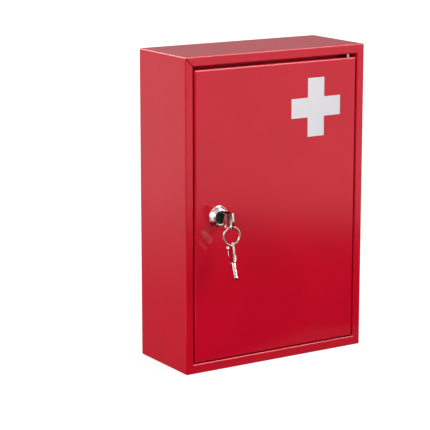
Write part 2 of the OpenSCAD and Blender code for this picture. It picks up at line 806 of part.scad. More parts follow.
// A bow that widens towards its bulging outer end
module bow_outline() {
    bow_r = 1.8;
    intersection() {
        translate([neck_l + bow_l / 2, 0]) rounded_rect(bow_l, bow_h, bow_r);
        polygon([[neck_l, -bow_root_h / 2], [key_l, -bow_h / 2], [key_l, bow_h / 2],
            [neck_l, bow_root_h / 2]]);
        translate([key_l - bow_end_r, 0]) circle(bow_end_r, $fn = 128);
    }
}

// One cut in the blade's edge, with sloping sides
module blade_cut(depth) {
    polygon([[-cut_flat / 2 - depth - cut, -cut], [cut_flat / 2 + depth + cut, -cut],
        [cut_flat / 2, depth], [-cut_flat / 2, depth]]);
}

module lock_key() {
    translate([lock_x, front_y + shoulder_y, lock_z]) rotate([90, 0, -90]) flat_key();
}

// The ring hangs in the bow's slot, and the spare key hangs from the ring
module key_ring() {
    end_angle = 20;
    end_gap = 0.3;
    color(nickel) translate([lock_x, ring_y, ring_z]) rotate([90, 0, -ring_yaw]) difference() {
        rotate_extrude($fn = 96) translate([ring_mid_r, 0]) ring_section();
        translate([ring_mid_r, 0, ring_stack / 4]) rotate([0, 0, end_angle])
            cube([2 * ring_wire, end_gap, ring_stack / 2], center = true);
    }
}

// Two flat turns of wire, parted by a fine groove
module ring_section() {
    groove_w = 0.12;
    groove_d = 0.3;
    wire_r = 0.4;
    difference() {
        rounded_rect(ring_wire, ring_stack, wire_r);
        for (s = [-1, 1])
            translate([s * ring_wire / 2, 0]) square([2 * groove_d, groove_w], center = true);
    }
}

module spare_key() {
    drop = slot_w / 2 - wire_gap - ring_wire / 2;
    translate([lock_x, ring_y, spare_z]) rotate([0, 0, -ring_yaw - spare_turn]) rotate([-spare_lean, 0, 0])
        translate([0, spare_slide, -slot_u - drop]) rotate([0, -90, 180]) flat_key();
}

cabinet_shell();
back_panel();
upper_shelf();
lower_shelf();
hinge_washer();
door_panel();
upper_pivot_bracket();
lower_pivot_bracket();
upper_hinge_pin();
lower_hinge_pin();
white_cross();
lock_housing();
lock_washer();
lock_nut();
lock_plug();
wafer_tumblers();
wafer_springs();
stop_washer();
lock_cam();
cam_washer();
cam_screw();
lock_key();
key_ring();
spare_key();
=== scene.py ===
"""Looks of a lockable steel medicine cabinet, dressed round its packed construction frame.

Everything is in metres, in the frame's own axes: X to the right, Y to the wall, Z up.
"""

from __future__ import annotations

import json
import logging
import math
from dataclasses import dataclass, field
from enum import Enum
from typing import Any, Callable, Mapping, Sequence

import bmesh
import bpy
import numpy as np
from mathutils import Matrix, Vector
from mathutils.geometry import tessellate_polygon


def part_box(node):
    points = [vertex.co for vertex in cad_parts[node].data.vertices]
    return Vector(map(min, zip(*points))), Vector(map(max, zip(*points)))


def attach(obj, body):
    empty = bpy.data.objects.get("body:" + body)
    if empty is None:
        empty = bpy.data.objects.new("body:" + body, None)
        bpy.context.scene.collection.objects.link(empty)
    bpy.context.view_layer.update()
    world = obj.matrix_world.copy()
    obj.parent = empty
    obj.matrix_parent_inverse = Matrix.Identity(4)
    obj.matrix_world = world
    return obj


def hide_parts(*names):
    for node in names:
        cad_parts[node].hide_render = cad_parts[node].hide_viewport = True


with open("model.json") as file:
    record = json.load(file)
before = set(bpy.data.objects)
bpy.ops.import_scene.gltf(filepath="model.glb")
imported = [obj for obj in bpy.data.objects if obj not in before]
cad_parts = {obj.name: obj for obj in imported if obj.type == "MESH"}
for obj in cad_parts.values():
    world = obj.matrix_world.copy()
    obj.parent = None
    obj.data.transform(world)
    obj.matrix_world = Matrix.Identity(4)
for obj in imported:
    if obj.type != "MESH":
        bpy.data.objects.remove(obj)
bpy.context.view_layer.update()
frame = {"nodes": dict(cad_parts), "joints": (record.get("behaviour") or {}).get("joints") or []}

LOG = logging.getLogger("medicine_cabinet")
MM = 0.001
WHITE = (1.0, 1.0, 1.0, 1.0)
INWARD = np.array([0.0, 1.0, 0.0])
UP = np.array([0.0, 0.0, 1.0])

# Points nearer than WELD are one. The others keep a division from running away.
WELD = 1e-7
LEAST_RADIUS = 1e-6
LEAST_SIDE = 1e-12
LEAST_SHARE = 0.4
LEAST_COSINE = 1e-3

# Points in the arc of an outline's corner.
ARC_STEPS = 8

# How far the wall of a dent has fallen and drawn in at its four rings, in depths of the dent.
DENT_FALL = np.array([0.0, 0.15, 0.85, 1.0])
DENT_DRAW = np.array([0.0, 0.3, 0.8, 1.1])

Pair = tuple[float, float]
Point = tuple[float, float, float]
Colour = tuple[float, float, float]
Sizes = tuple[float, ...]
Place = Callable[[np.ndarray], np.ndarray]


class Slot(Enum):
    """The record's material slots."""

    RED_PAINT = "red_paint"
    WHITE_FILM = "white_film"
    CHROME = "chrome"
    NICKEL = "nickel"
    DARK_NICKEL = "dark_nickel"
    ZINC = "zinc_plate"
    BRASS = "brass"
    SPRING = "spring_steel"


def rgba(colour: Colour) -> Sequence[float]:
    """Returns a linear colour with full alpha."""
    return (*colour, 1.0)


def mm(*sizes: float) -> Sizes:
    """Returns sizes that are given in millimetres, in metres."""
    return tuple(size * MM for size in sizes)


def joint(name: str) -> Mapping[str, Any]:
    """Returns what the frame says of a joint."""
    return next(found for found in frame["joints"] if found["name"] == name)


def operator(operation: str, swapped: bool = False) -> Callable[[Value, Input], Value]:
    """Returns a method that adds this Math node, with its inputs swapped in a reflected form."""

    def apply(self: Value, other: Input) -> Value:
        """Returns the result of the Math node."""
        inputs = {int(swapped): self, int(not swapped): other}
        return self.graph.node("ShaderNodeMath", {"operation": operation}, inputs)

    return apply


class Value:
    """One number or colour that flows through a shader; arithmetic on it adds Math nodes."""

    __add__, __radd__ = operator("ADD"), operator("ADD", swapped=True)
    __sub__, __rsub__ = operator("SUBTRACT"), operator("SUBTRACT", swapped=True)
    __mul__, __rmul__ = operator("MULTIPLY"), operator("MULTIPLY", swapped=True)
    highest = operator("MAXIMUM")

    def __init__(self, graph: Graph, socket: bpy.types.NodeSocket | None) -> None:
        """Wraps an output socket of the graph."""
        self.graph = graph
        self.socket = socket

    def output(self, name: str | int) -> Value:
        """Returns another output of the same node."""
        return Value(self.graph, self.socket.node.outputs[name])


Input = Value | float | Sequence[float]


def between(ends: Pair, share: Value) -> Value:
    """Returns the value at a share of the way between two ends."""
    return ends[0] + (ends[1] - ends[0]) * share


class Graph:
    """The node tree of one material or of the world."""

    def __init__(self, tree: bpy.types.NodeTree) -> None:
        """Starts from an emptied tree."""
        self.tree = tree
        tree.nodes.clear()

    def node(self, kind: str, settings: Mapping[str, object] | None = None,
             inputs: Mapping[str | int, Input | None] | None = None,
             output: str | int = 0) -> Value:
        """Adds one node.

        Args:
            kind: the node's Blender type.
            settings: its own settings, set first.
            inputs: values or links for its sockets, by name or place; None leaves one alone.
            output: the socket that the result reads.

        Returns:
            The output, which holds no socket where the node has none.
        """
        made = self.tree.nodes.new(kind)
        for name, setting in (settings or {}).items():
            setattr(made, name, setting)
        for name, value in (inputs or {}).items():
            if isinstance(value, Value):
                self.tree.links.new(value.socket, made.inputs[name])
            elif value is not None:
                made.inputs[name].default_value = value
        return Value(self, made.outputs[output] if len(made.outputs) else None)

    def place(self) -> Value:
        """Returns the point on the piece, in object coordinates."""
        return self.node("ShaderNodeTexCoord", output="Object")

    def noise(self, point: Value, size: float, detail: float, seed: float) -> Value:
        """Returns noise from 0 to 1 with features about size metres across, one for each seed."""
        return self.node("ShaderNodeTexNoise", {"noise_dimensions": "4D"}, {
            "Vector": point, "W": seed, "Scale": 1.0 / size, "Detail": detail})

    def rays(self) -> tuple[Value, Value]:
        """Returns masks of straight looks, from the camera or through glass, and of reflections."""
        path = self.node("ShaderNodeLightPath")
        straight = path.output("Is Camera Ray").highest(path.output("Is Transmission Ray"))
        return straight, path.output("Is Glossy Ray")

    def vector(self, operation: str, *values: Input, output: str | int = 0) -> Value:
        """Returns the result of a Vector Math node on these inputs, in order."""
        return self.node("ShaderNodeVectorMath", {"operation": operation},
                         dict(enumerate(values)), output)

    def parts(self, vector: Value) -> tuple[Value, Value, Value]:
        """Returns a vector's three parts."""
        x = self.node("ShaderNodeSeparateXYZ", {}, {0: vector})
        return x, x.output(1), x.output(2)

    def ramp(self, value: Value, low: float, high: float,
             start: float = 0.0, end: float = 1.0) -> Value:
        """Returns the value, carried smoothly from low and high to start and end."""
        return self.node("ShaderNodeMapRange", {"interpolation_type": "SMOOTHSTEP"}, {
            "Value": value, "From Min": low, "From Max": high, "To Min": start, "To Max": end})

    def mix(self, share: Input, first: Input, second: Input) -> Value:
        """Returns a colour between two, by share."""
        return self.node("ShaderNodeMix", {"data_type": "RGBA"}, {0: share, 6: first, 7: second}, 2)

    def bump(self, height: Value, depth: float, under: Value | None = None) -> Value:
        """Returns the normal of a bump of height times depth metres, over another if given."""
        return self.node("ShaderNodeBump", {}, {
            "Height": height, "Distance": depth, "Strength": 1.0, "Normal": under})

    def surface(self, inputs: Mapping[str | int, Input]) -> None:
        """Ends a material's tree in one plain shader with these inputs."""
        shader = self.node("ShaderNodeBsdfPrincipled", {}, inputs)
        self.node("ShaderNodeOutputMaterial", {}, {"Surface": shader})

    def glow(self, kind: str, strength: Input) -> Value:
        """Returns a white light of this strength, from a node of this type."""
        return self.node(kind, {}, {"Color": WHITE, "Strength": strength})


def blank(name: str) -> tuple[bpy.types.Material, Graph]:
    """Returns a new material of this name, and its emptied tree."""
    made = bpy.data.materials.new(name)
    made.use_nodes = True
    return made, Graph(made.node_tree)


@dataclass(frozen=True)
class PowderCoat:
    """Satin powder coat with an orange peel skin, on a slow swell and clouds of a deeper red."""

    name: str = "red_powder_coat"
    slot: Slot = Slot.RED_PAINT
    red: Colour = (0.550, 0.0012, 0.0175)
    deep_red: Colour = (0.515, 0.0006, 0.0150)
    roughness: Pair = (0.15, 0.21)
    peel: float = 1.1 * MM
    swell: float = 3.2 * MM
    cloud: float = 70 * MM
    cloud_edge: Pair = (0.3, 0.7)
    swell_share: float = 0.6
    cloud_share: float = 0.4
    peel_depth: float = 0.010 * MM
    swell_depth: float = 0.016 * MM

    def material(self) -> bpy.types.Material:
        """Returns the new material."""
        made, g = blank(self.name)
        point = g.place()
        peel = g.noise(point, self.peel, detail=2.0, seed=1.0)
        swell = g.noise(point, self.swell, detail=1.0, seed=2.0)
        cloud = g.noise(point, self.cloud, detail=3.0, seed=3.0)
        shade = g.ramp(cloud, *self.cloud_edge)
        g.surface({
            "Base Color": g.mix(shade, rgba(self.red), rgba(self.deep_red)),
            "Roughness": between(self.roughness,
                                 self.swell_share * swell + self.cloud_share * cloud),
            "Normal": g.bump(peel, self.peel_depth, g.bump(swell, self.swell_depth))})
        return made


@dataclass(frozen=True)
class Metal:
    """Plated or bare metal with a fine grain and handling smears."""

    name: str
    slot: Slot
    colour: Colour
    shade: Colour
    roughness: Pair
    grain: float = 0.15 * MM
    grain_depth: float = 0.002 * MM
    smear: float = 5 * MM
    smear_edge: Pair = (0.35, 0.75)
    smear_share: float = 0.5
    grain_share: float = 0.5

    def material(self) -> bpy.types.Material:
        """Returns the new material."""
        made, g = blank(self.name)
        point = g.place()
        grain = g.noise(point, self.grain, detail=2.0, seed=1.0)
        smear = g.noise(point, self.smear, detail=3.0, seed=2.0)
        shade = g.ramp(smear, *self.smear_edge)
        g.surface({
            "Base Color": g.mix(shade, rgba(self.colour), rgba(self.shade)),
            "Metallic": 1.0,
            "Roughness": between(self.roughness,
                                 self.smear_share * smear + self.grain_share * grain),
            "Normal": g.bump(grain, self.grain_depth)})
        return made


@dataclass(frozen=True)
class Film:
    """Matt white film, lying on the paint and taking a little of its peel."""

    name: str = "white_film"
    slot: Slot = Slot.WHITE_FILM
    white: Colour = (0.72, 0.705, 0.73)
    shade: Colour = (0.69, 0.675, 0.70)
    roughness: Pair = (0.34, 0.42)
    peel: float = 2.4 * MM
    peel_depth: float = 0.008 * MM

    def material(self) -> bpy.types.Material:
        """Returns the new material."""
        made, g = blank(self.name)
        peel = g.noise(g.place(), self.peel, detail=2.0, seed=5.0)
        g.surface({
            "Base Color": g.mix(peel, rgba(self.white), rgba(self.shade)),
            "Roughness": between(self.roughness, peel),
            "Normal": g.bump(peel, self.peel_depth)})
        return made


COAT = PowderCoat()
THIN_COAT = PowderCoat("thin_powder_coat", roughness=(0.50, 0.60))
FILM = Film()
CHROME = Metal("bright_chrome", Slot.CHROME, (0.80, 0.81, 0.82), (0.74, 0.75, 0.77), (0.05, 0.14))
NICKEL = Metal("nickel_plate", Slot.NICKEL, (0.80, 0.78, 0.71), (0.66, 0.64, 0.58), (0.09, 0.18))
# The lock plug is nickel coloured near black: painted shade, for the shade in its keyway round the
# key.
PLUG_PAINTED_SHADE = Metal("dark_nickel", Slot.DARK_NICKEL,
             (0.10, 0.10, 0.095), (0.06, 0.06, 0.055), (0.25, 0.45))
ZINC = Metal("zinc_plate", Slot.ZINC, (0.62, 0.64, 0.67), (0.52, 0.53, 0.52), (0.28, 0.45))
BRASS = Metal("stamped_brass", Slot.BRASS, (0.72, 0.52, 0.22), (0.60, 0.42, 0.17), (0.22, 0.38))
# The hinge washer is zinc coloured near black: painted shade, for the shade it lies in below the
# door.
WASHER_PAINTED_SHADE = Metal("dull_washer", Slot.ZINC, (0.07, 0.05, 0.05), (0.05, 0.04, 0.04), (0.45, 0.60))
SPRING = Metal("spring_wire", Slot.SPRING, (0.40, 0.40, 0.41), (0.30, 0.30, 0.31), (0.2, 0.35))

Finish = PowderCoat | Metal | Film


def put(name: str, data: bpy.types.ID) -> bpy.types.Object:
    """Returns a new object of this data, in the scene."""
    made = bpy.data.objects.new(name, data)
    bpy.context.scene.collection.objects.link(made)
    return made


class Workshop:
    """Makes each finish once, and dresses pieces with it."""

    def __init__(self) -> None:
        """Starts with no material made."""
        self._made: dict[str, bpy.types.Material] = {}

    def dress(self, piece: bpy.types.Object, finish: Finish) -> None:
        """Gives a piece its material and reports it.

        Args:
            piece: the piece, with no other material kept.
            finish: what it is finished in.
        """
        if finish.name not in self._made:
            self._made[finish.name] = finish.material()
        piece.data.materials.clear()
        piece.data.materials.append(self._made[finish.name])
        LOG.info("%s: %s", piece.name, finish.name)


class Skin:
    """Faces gathered from grids of points and flat caps, welded into one closed mesh."""

    def __init__(self) -> None:
        """Starts empty."""
        self._points: list[np.ndarray] = []
        self._faces: list[list[int]] = []
        self._count = 0

    def _add(self, points: np.ndarray, faces: np.ndarray) -> None:
        """Adds points x 3, and faces x corners that count from the first of them."""
        self._points.append(points)
        self._faces.extend((self._count + faces).tolist())
        self._count += len(points)

    def grid(self, points: np.ndarray, closed: tuple[bool, bool] = (False, True)) -> None:
        """Adds a surface of rows and columns.

        Each point is joined with its neighbours in the next row and the next column, and a closed
        way joins the last with the first.

        Args:
            points: rows x columns x 3.
            closed: whether the rows, and whether the columns, run round.
        """
        rows, columns = points.shape[:2]
        row, column = np.meshgrid(np.arange(rows - 1 + closed[0]),
                                  np.arange(columns - 1 + closed[1]), indexing="ij")
        below, beside = (row + 1) % rows, (column + 1) % columns
        quads = np.stack([row * columns + column, below * columns + column,
                          below * columns + beside, row * columns + beside], axis=-1)
        self._add(points.reshape(-1, 3), quads.reshape(-1, 4))

    def cap(self, rings: Sequence[np.ndarray]) -> None:
        """Fills a flat outline, less its holes.

        Args:
            rings: the outline and then its holes, each points x 3.
        """
        triangles = tessellate_polygon([[Vector(point) for point in ring] for ring in rings])
        self._add(np.concatenate(rings), np.array(triangles))

    def piece(self, name: str, body: str, *nodes: str, smooth: float = 35.0) -> bpy.types.Object:
        """Makes the piece, and lets it ride on its body and stand for its nodes.

        Args:
            name: the piece's name.
            body: the body that it rides on.
            nodes: the construction nodes that it stands for.
            smooth: the angle in degrees up to which two faces shade as one.

        Returns:
            The new object.
        """
        mesh = bpy.data.meshes.new(name)
        mesh.from_pydata(np.concatenate(self._points).tolist(), [], self._faces)
        shape = bmesh.new()
        shape.from_mesh(mesh)
        bmesh.ops.remove_doubles(shape, verts=shape.verts, dist=WELD)
        bmesh.ops.dissolve_degenerate(shape, dist=WELD, edges=shape.edges)
        bmesh.ops.recalc_face_normals(shape, faces=shape.faces)
        shape.to_mesh(mesh)
        shape.free()
        mesh.shade_smooth()
        mesh.set_sharp_from_angle(angle=math.radians(smooth))
        made = put(name, mesh)
        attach(made, body)
        if nodes:
            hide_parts(*nodes)
        return made


def rounded(corners: np.ndarray, radii: Sequence[float], steps: int = ARC_STEPS) -> np.ndarray:
    """Rounds every corner of an outline with an arc.

    The arc of a corner starts and ends where a circle of its radius touches the two sides, at the
    radius over the tangent of half the corner's angle from the corner, and its points turn evenly
    about the circle's centre.

    Args:
        corners: points x 2, counter-clockwise.
        radii: one radius for each corner.
        steps: points in each arc.

    Returns:
        The outline, points x 2.
    """
    back = np.roll(corners, 1, axis=0) - corners
    ahead = np.roll(corners, -1, axis=0) - corners
    back /= np.linalg.norm(back, axis=1, keepdims=True)
    ahead /= np.linalg.norm(ahead, axis=1, keepdims=True)
    angle = np.arccos(np.clip((back * ahead).sum(axis=1), -1.0, 1.0))[:, None]
    radius = np.maximum(radii, LEAST_RADIUS)[:, None]
    reach = radius / np.tan(angle / 2)
    middle = back + ahead
    middle = middle / np.linalg.norm(middle, axis=1, keepdims=True)
    centre = corners + middle * radius / np.sin(angle / 2)
    start, end = corners + back * reach - centre, corners + ahead * reach - centre
    turn = (math.pi - angle)[:, None]
    way = np.linspace(0.0, 1.0, steps)[None, :, None]
    arcs = np.sin((1 - way) * turn) * start[:, None] + np.sin(way * turn) * end[:, None]
    return (centre[:, None] + arcs / np.sin(turn)).reshape(-1, 2)


def inset(outline: np.ndarray, distance: float) -> np.ndarray:
    """Moves an outline's sides inwards by a distance.

    Each point moves along the sum of the inward normals of its two sides, over one plus their
    product.

    Args:
        outline: points x 2, counter-clockwise, no two neighbours alike.
        distance: how far, negative for outwards.

    Returns:
        The moved outline.
    """
    side = np.roll(outline, -1, axis=0) - outline
    side /= np.maximum(np.linalg.norm(side, axis=1, keepdims=True), LEAST_SIDE)
    ahead = np.stack([-side[:, 1], side[:, 0]], axis=1)
    back = np.roll(ahead, 1, axis=0)
    share = 1.0 + (ahead * back).sum(axis=1, keepdims=True)
    return outline + distance * (ahead + back) / np.maximum(share, LEAST_SHARE)


def stacked(outline: np.ndarray, draws: np.ndarray, heights: np.ndarray) -> np.ndarray:
    """Returns copies x points x 3: the outline drawn in by each draw, at its height."""
    return np.stack([np.column_stack([inset(outline, draw), np.full(len(outline), height)])
                     for draw, height in zip(draws, heights)])


def slab(length: float, height: float, radius: float, centre: float = 0.0) -> np.ndarray:
    """Returns a rectangle with rounded corners round a point on X, counter-clockwise."""
    x, y = length / 2, height / 2
    corners = np.array([(-x, -y), (x, -y), (x, y), (-x, y)])
    return rounded(corners, (radius,) * 4) + (centre, 0.0)


def disc(radius: float, count: int) -> np.ndarray:
    """Returns a circle of so many points round the origin, counter-clockwise."""
    turn = np.linspace(0.0, math.tau, count, endpoint=False)
    return radius * np.stack([np.cos(turn), np.sin(turn)], axis=1)


@dataclass(frozen=True)
class Stamping:
    """A flat piece stamped from sheet, lying in X and Y, with its edges rounded by tumbling."""

    thickness: float
    edge: float
    edge_steps: int = 4

    def _rims(self, outline: np.ndarray, sign: float) -> np.ndarray:
        """Rounds an outline's edge, from the lower to the upper face.

        Each edge is a quarter circle: the ring at the angle a is drawn in by edge x (1 - cos a) and
        lies at edge x (1 - sin a) below the face.

        Args:
            outline: points x 2, counter-clockwise.
            sign: 1 for the outer outline, -1 for a hole.

        Returns:
            Rings x points x 3.
        """
        turn = np.linspace(math.pi / 2, 0.0, self.edge_steps)
        draw, drop = self.edge * (1 - np.cos(turn)), self.edge * (1 - np.sin(turn))
        half = self.thickness / 2
        return stacked(outline, sign * np.concatenate([draw, draw[::-1]]),
                       np.concatenate([drop - half, half - drop[::-1]]))

    def build(self, skin: Skin, place: Place, outline: np.ndarray,
              holes: Sequence[np.ndarray] = (),
              dents: Sequence[tuple[np.ndarray, float]] = ()) -> None:
        """Adds the stamping to a skin.

        Args:
            skin: what it is added to.
            place: carries local points to their place on the object.
            outline: the outer outline, points x 2, counter-clockwise.
            holes: outlines that are punched right through.
            dents: outlines pressed into both faces, each with its depth.
        """
        faces: list[list[np.ndarray]] = [[], []]
        for edge, sign in [(outline, 1.0)] + [(hole, -1.0) for hole in holes]:
            rims = self._rims(edge, sign)
            skin.grid(place(rims))
            faces[0].append(rims[0])
            faces[1].append(rims[-1])
        for edge, depth in dents:
            for face, up in enumerate((-1.0, 1.0)):
                levels = up * (self.thickness / 2 - depth * DENT_FALL)
                walls = stacked(edge, depth * DENT_DRAW, levels)
                skin.grid(place(walls))
                skin.cap([place(walls[-1])])
                faces[face].append(walls[0])
        for rings in faces:
            skin.cap([place(ring) for ring in rings])


def sweep(skin: Skin, path: np.ndarray, across: np.ndarray, up: np.ndarray,
          section: np.ndarray) -> None:
    """Adds a solid whose section is carried along a path, with both ends capped.

    Args:
        skin: what it is added to.
        path: points x 3.
        across: the direction of the section's first axis, one for all points or one for each.
        up: the direction of its second axis, likewise.
        section: points x 2, counter-clockwise.
    """
    across, up = np.broadcast_to(across, path.shape), np.broadcast_to(up, path.shape)
    rows = (path[:, None] + section[:, 0, None] * across[:, None]
            + section[:, 1, None] * up[:, None])
    skin.grid(rows)
    skin.cap([rows[0]])
    skin.cap([rows[-1]])


@dataclass
class Keys:
    """The inserted key, the spare key and the split ring that joins them.

    Both keys are one stamping: its shoulder is at X = 0, its blade to -X and its bow to +X.

    Attributes:
        blade, neck: length and width.
        bow: length, width at its root and width at its end.
        corner_radii: of the neck's and the bow's corners, from the blade on.
        end_share, end_cut: the share of the bow's end that bulges, and the last corner's points
            that it replaces.
        slot: length, width and distance from the bow's end.
        panel_gap: the pressed panel's distance from the neck, the slot and the sides.
        groove: width, depth and how far it runs past the shoulder.
        spare_turn, spare_lean, spare_slide, drop: how the spare key hangs on the wire.
        wire: its size outwards and across.
        turn_step: how far each of the ring's turns lies from the middle.
        ring_gap, ring_start: half the angle between the wire's ends, and where it starts.
    """

    shop: Workshop
    thickness: float = 2.0 * MM
    edge: float = 0.22 * MM
    blade: Sizes = mm(16.5, 6.0)
    tip: float = 1.6 * MM
    blade_steps: int = 111
    first_cut: float = 3.6 * MM
    cut_pitch: float = 2.4 * MM
    cut_flat: float = 0.55 * MM
    cuts: Sizes = mm(0.5, 1.1, 0.3, 0.9, 0.6)
    neck: Sizes = mm(6.4, 11.0)
    bow: Sizes = mm(14.4, 16.0, 19.0)
    corner_radii: Sizes = mm(0.0, 1.0, 0.4, 0.5, 1.8)
    bulge: float = 1.2 * MM
    end_share: float = 0.86
    end_cut: int = 3
    end_steps: int = 25
    slot: Sizes = mm(2.8, 14.0, 1.6)
    slot_radius: float = 0.5 * MM
    panel_gap: Sizes = mm(2.2, 1.4, 2.0)
    panel_depth: float = 0.3 * MM
    panel_radius: float = 0.8 * MM
    groove: Sizes = mm(1.2, 0.4, 2.0)
    groove_radius: float = 0.55 * MM
    shoulder_gap: float = 0.2 * MM
    spare_turn: float = math.radians(6.0)
    spare_lean: float = math.radians(26.0)
    spare_slide: float = 4.0 * MM
    drop: float = 0.4 * MM
    wire: Sizes = mm(1.4, 0.8)
    wire_edge: float = 0.3 * MM
    turn_step: float = 0.44 * MM
    ring_gap: float = 0.32
    ring_start: float = 2.2
    ring_steps: int = 241

    def build(self) -> None:
        """Makes and dresses the three pieces."""
        pivot = np.array(joint("spare_key_swing")["pos_m"])
        top = np.array(joint("ring_swing")["pos_m"])
        across = joint("ring_swing")["axis"]
        yaw = math.atan2(-across[1], across[0])
        x, _, z = joint("lock_turn")["pos_m"]
        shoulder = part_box("lock_housing")[0][1] - self.shoulder_gap

        def inserted(points: np.ndarray) -> np.ndarray:
            """Carries the key into the lock: its bow points forward and its width stands up."""
            return np.stack([x - points[..., 2], shoulder - points[..., 0], z + points[..., 1]],
                            axis=-1)

        def hung(points: np.ndarray) -> np.ndarray:
            """Carries the key onto the ring: bow up, leaned forward and turned with the ring."""
            side, deep = points[..., 2], self.spare_slide - points[..., 1]
            high = points[..., 0] - self._slot_middle() - self.drop
            lean, turn = self.spare_lean, yaw + self.spare_turn
            deep, high = (deep * math.cos(lean) + high * math.sin(lean),
                          high * math.cos(lean) - deep * math.sin(lean))
            side, deep = (side * math.cos(turn) + deep * math.sin(turn),
                          deep * math.cos(turn) - side * math.sin(turn))
            return pivot + np.stack([side, deep, high], axis=-1)

        self._key(inserted, "key_in_lock", "key", "lock_key")
        self._key(hung, "key_on_ring", "spare", "spare_key")
        self._ring((top + pivot) / 2, (top[2] - pivot[2]) / 2, yaw)

    def _slot_middle(self) -> float:
        """Returns the slot's middle, from the key's shoulder."""
        return self.neck[0] + self.bow[0] - self.slot[2] - self.slot[0] / 2

    def _bite(self, x: np.ndarray) -> np.ndarray:
        """Cuts the blade.

        A cut is as deep as its number over its flat floor, and rises one for one on both sides;
        where two cuts meet, the deeper one counts.

        Args:
            x: places along the blade.

        Returns:
            How deep it is cut at each place.
        """
        depth = np.array(self.cuts)[:, None]
        place = -self.first_cut - self.cut_pitch * np.arange(len(self.cuts))[:, None]
        return np.clip(depth - (np.abs(x - place) - self.cut_flat), 0.0, depth).max(axis=0)

    def _outline(self) -> np.ndarray:
        """Draws the key.

        One side is the blade's cut edge, the neck and the bow's flank, and the other is its mirror
        image. The bow's end joins them: it stands out by the bulge less the bulge times the square
        of the place across.

        Returns:
            The outline, points x 2, counter-clockwise.
        """
        blade_l, half = self.blade[0], self.blade[1] / 2
        neck_l, neck_half = self.neck[0], self.neck[1] / 2
        end = neck_l + self.bow[0]
        root_half, bow_half = self.bow[1] / 2, self.bow[2] / 2
        x = np.linspace(self.tip - blade_l, 0.0, self.blade_steps)
        edge = np.column_stack([x, self._bite(x) - half])
        corners = np.array([(0.0, -half), (0.0, -neck_half), (neck_l, -neck_half),
                            (neck_l, -root_half), (end - self.bulge, -bow_half)])
        # The first corner is the blade's, which is in its edge already.
        flank = rounded(corners, self.corner_radii)[ARC_STEPS:-self.end_cut]
        span = np.linspace(-1.0, 1.0, self.end_steps)[:, None]
        bow_end = np.column_stack([end - self.bulge * span ** 2,
                                   self.end_share * bow_half * span])
        side = np.concatenate([edge, flank])
        tip = np.array([(-blade_l, self.tip - half)])
        mirror = np.array([1.0, -1.0])
        return np.concatenate([tip, side, bow_end, side[::-1] * mirror, tip * mirror])

    def _key(self, place: Place, name: str, body: str, node: str) -> None:
        """Makes one key.

        Args:
            place: carries it from where it lies flat.
            name, body, node: as for Skin.piece.
        """
        slot_l, slot_w, _ = self.slot
        middle = self._slot_middle()
        near, far, side = self.panel_gap
        start, stop = self.neck[0] + near, middle - slot_l / 2 - far
        panel = slab(stop - start, self.bow[1] - 2 * side, self.panel_radius, (start + stop) / 2)
        width, depth, run = self.groove
        left = self.tip - self.blade[0]
        groove = slab(run - left, width, self.groove_radius, (run + left) / 2)
        skin = Skin()
        Stamping(self.thickness, self.edge).build(
            skin, place, self._outline(), [slab(slot_l, slot_w, self.slot_radius, middle)],
            [(panel, self.panel_depth), (groove, depth)])
        self.shop.dress(skin.piece(name, body, node), NICKEL)

    def _ring(self, centre: np.ndarray, radius: float, yaw: float) -> None:
        """Makes the split ring: one flat wire of nearly two turns.

        The first turn lies on one level and the second on the other, and the wire steps across
        between the two ends, by a smooth step of its turn round the full circle.

        Args:
            centre: the ring's middle.
            radius: from there to the wire's middle.
            yaw: how far the ring is turned out of the door's plane.
        """
        turn = np.linspace(self.ring_gap, 2 * math.tau - self.ring_gap, self.ring_steps)
        way = np.clip((turn - math.tau) / self.ring_gap * 0.5 + 0.5, 0.0, 1.0)
        level = self.turn_step * (2 * way ** 2 * (3 - 2 * way) - 1)[:, None]
        right = np.array([math.cos(yaw), -math.sin(yaw), 0.0])
        front = np.array([-math.sin(yaw), -math.cos(yaw), 0.0])
        angle = (turn + self.ring_start)[:, None]
        out = np.cos(angle) * right + np.sin(angle) * UP
        skin = Skin()
        sweep(skin, centre + radius * out + level * front, out, front,
              slab(*self.wire, self.wire_edge))
        self.shop.dress(skin.piece("split_ring", "ring", "key_ring", smooth=50.0), NICKEL)


